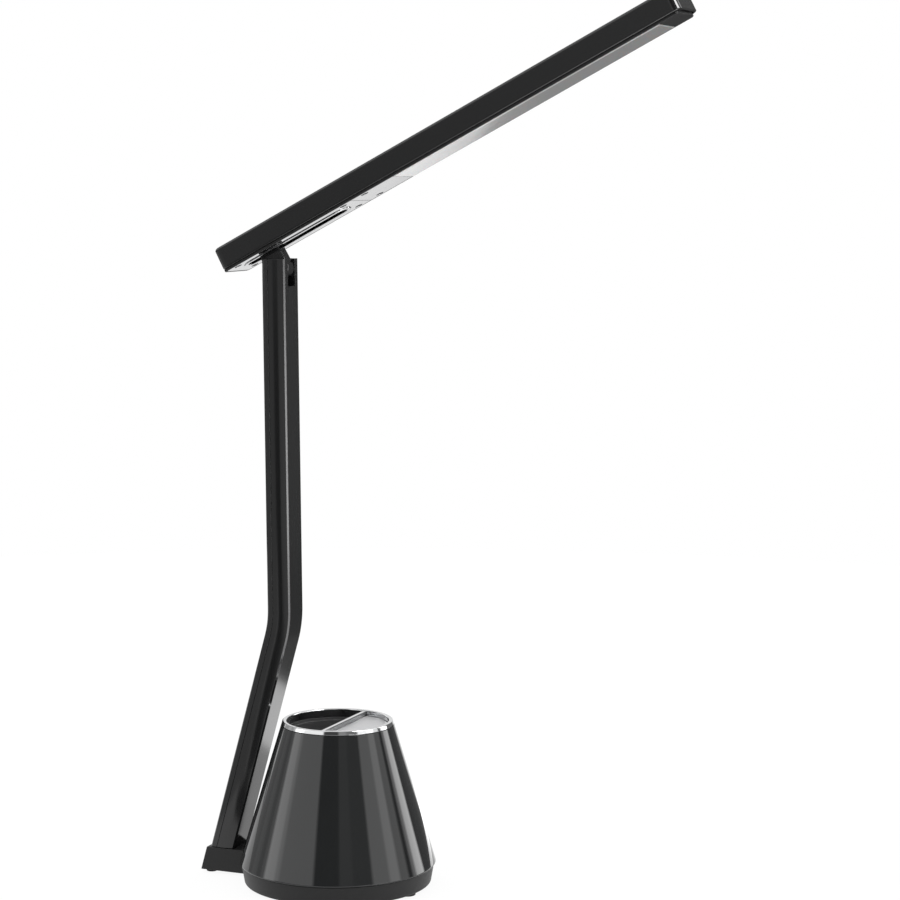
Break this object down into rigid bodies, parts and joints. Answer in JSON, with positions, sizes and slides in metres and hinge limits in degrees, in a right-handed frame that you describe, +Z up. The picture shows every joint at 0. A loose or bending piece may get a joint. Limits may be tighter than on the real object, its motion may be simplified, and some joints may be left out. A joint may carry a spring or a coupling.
{
  "type": "led desk lamp",
  "caption": "Desk lamp with a glossy conical base that holds pens beside a touch panel, a bent arm, and a long light bar on a hinge and slide.",
  "frame": {"origin": "centre of the bounding box's underside, on the surface that the feet stand on", "axes": "+Z up, +X the way the light bar points from the arm, +Y to the left of that"},
  "size_m": [0.3108, 0.122, 0.5439],
  "materials": {
    "gloss_black": "mirror gloss",
    "satin_black": "satin gloss",
    "matte_black": "matte",
    "well_black": "satin",
    "chrome": "polished",
    "silver": "silver satin",
    "bright_silver": "bright silver coat",
    "opal": "frosted",
    "steel": "plain",
    "dark_steel": "blackened",
    "cast_iron": "plain",
    "rubber": "matte",
    "acetal": "plain",
    "board": "lacquered board"
  },
  "bodies": {
    "stand": {"base_shell": "matte_black", "cup_shell": "gloss_black", "chrome_ring": "chrome", "pen_well": "well_black", "divider_bar": "chrome", "touch_panel": "silver", "touch_board": "board", "ballast_weight": "cast_iron", "power_inlet": "matte_black", "arm": "satin_black", "arm_rear_cover": "satin_black", "hinge_pin": "steel", "friction_washer_1": "steel", "friction_washer_2": "steel", "base_screw_1": "steel", "foot_1": "rubber", "base_screw_2": "steel", "foot_2": "rubber", "base_screw_3": "steel", "foot_3": "rubber", "base_screw_4": "steel", "foot_4": "rubber", "arm_screw_1": "steel", "tail_foot_1": "rubber", "arm_screw_2": "steel", "tail_foot_2": "rubber"},
    "neck": {"neck": "satin_black", "slide_carriage": "acetal", "slide_shoe": "acetal", "carriage_screw_1": "steel", "carriage_screw_2": "steel"},
    "head": {"head_housing": "satin_black", "lower_frame": "matte_black", "root_cover": "bright_silver", "board_cover": "bright_silver", "slot_rim": "bright_silver", "diffuser": "opal", "led_board": "board", "cover_screw_1": "dark_steel", "cover_screw_2": "dark_steel", "cover_screw_3": "dark_steel", "cover_screw_4": "dark_steel", "cover_screw_5": "dark_steel", "cover_screw_6": "dark_steel"}
  },
  "joints": [
    {"name": "head_tilt", "type": "hinge", "parent": "stand", "child": "neck", "pos_m": [-0.1036, 0, 0.3813], "axis": [0, -1, 0], "range_deg": [-90, 20]},
    {"name": "head_slide", "type": "slide", "parent": "neck", "child": "head", "axis": [0.8854, 0, 0.4648], "range_m": [-0.047, 0.008]}
  ]
}
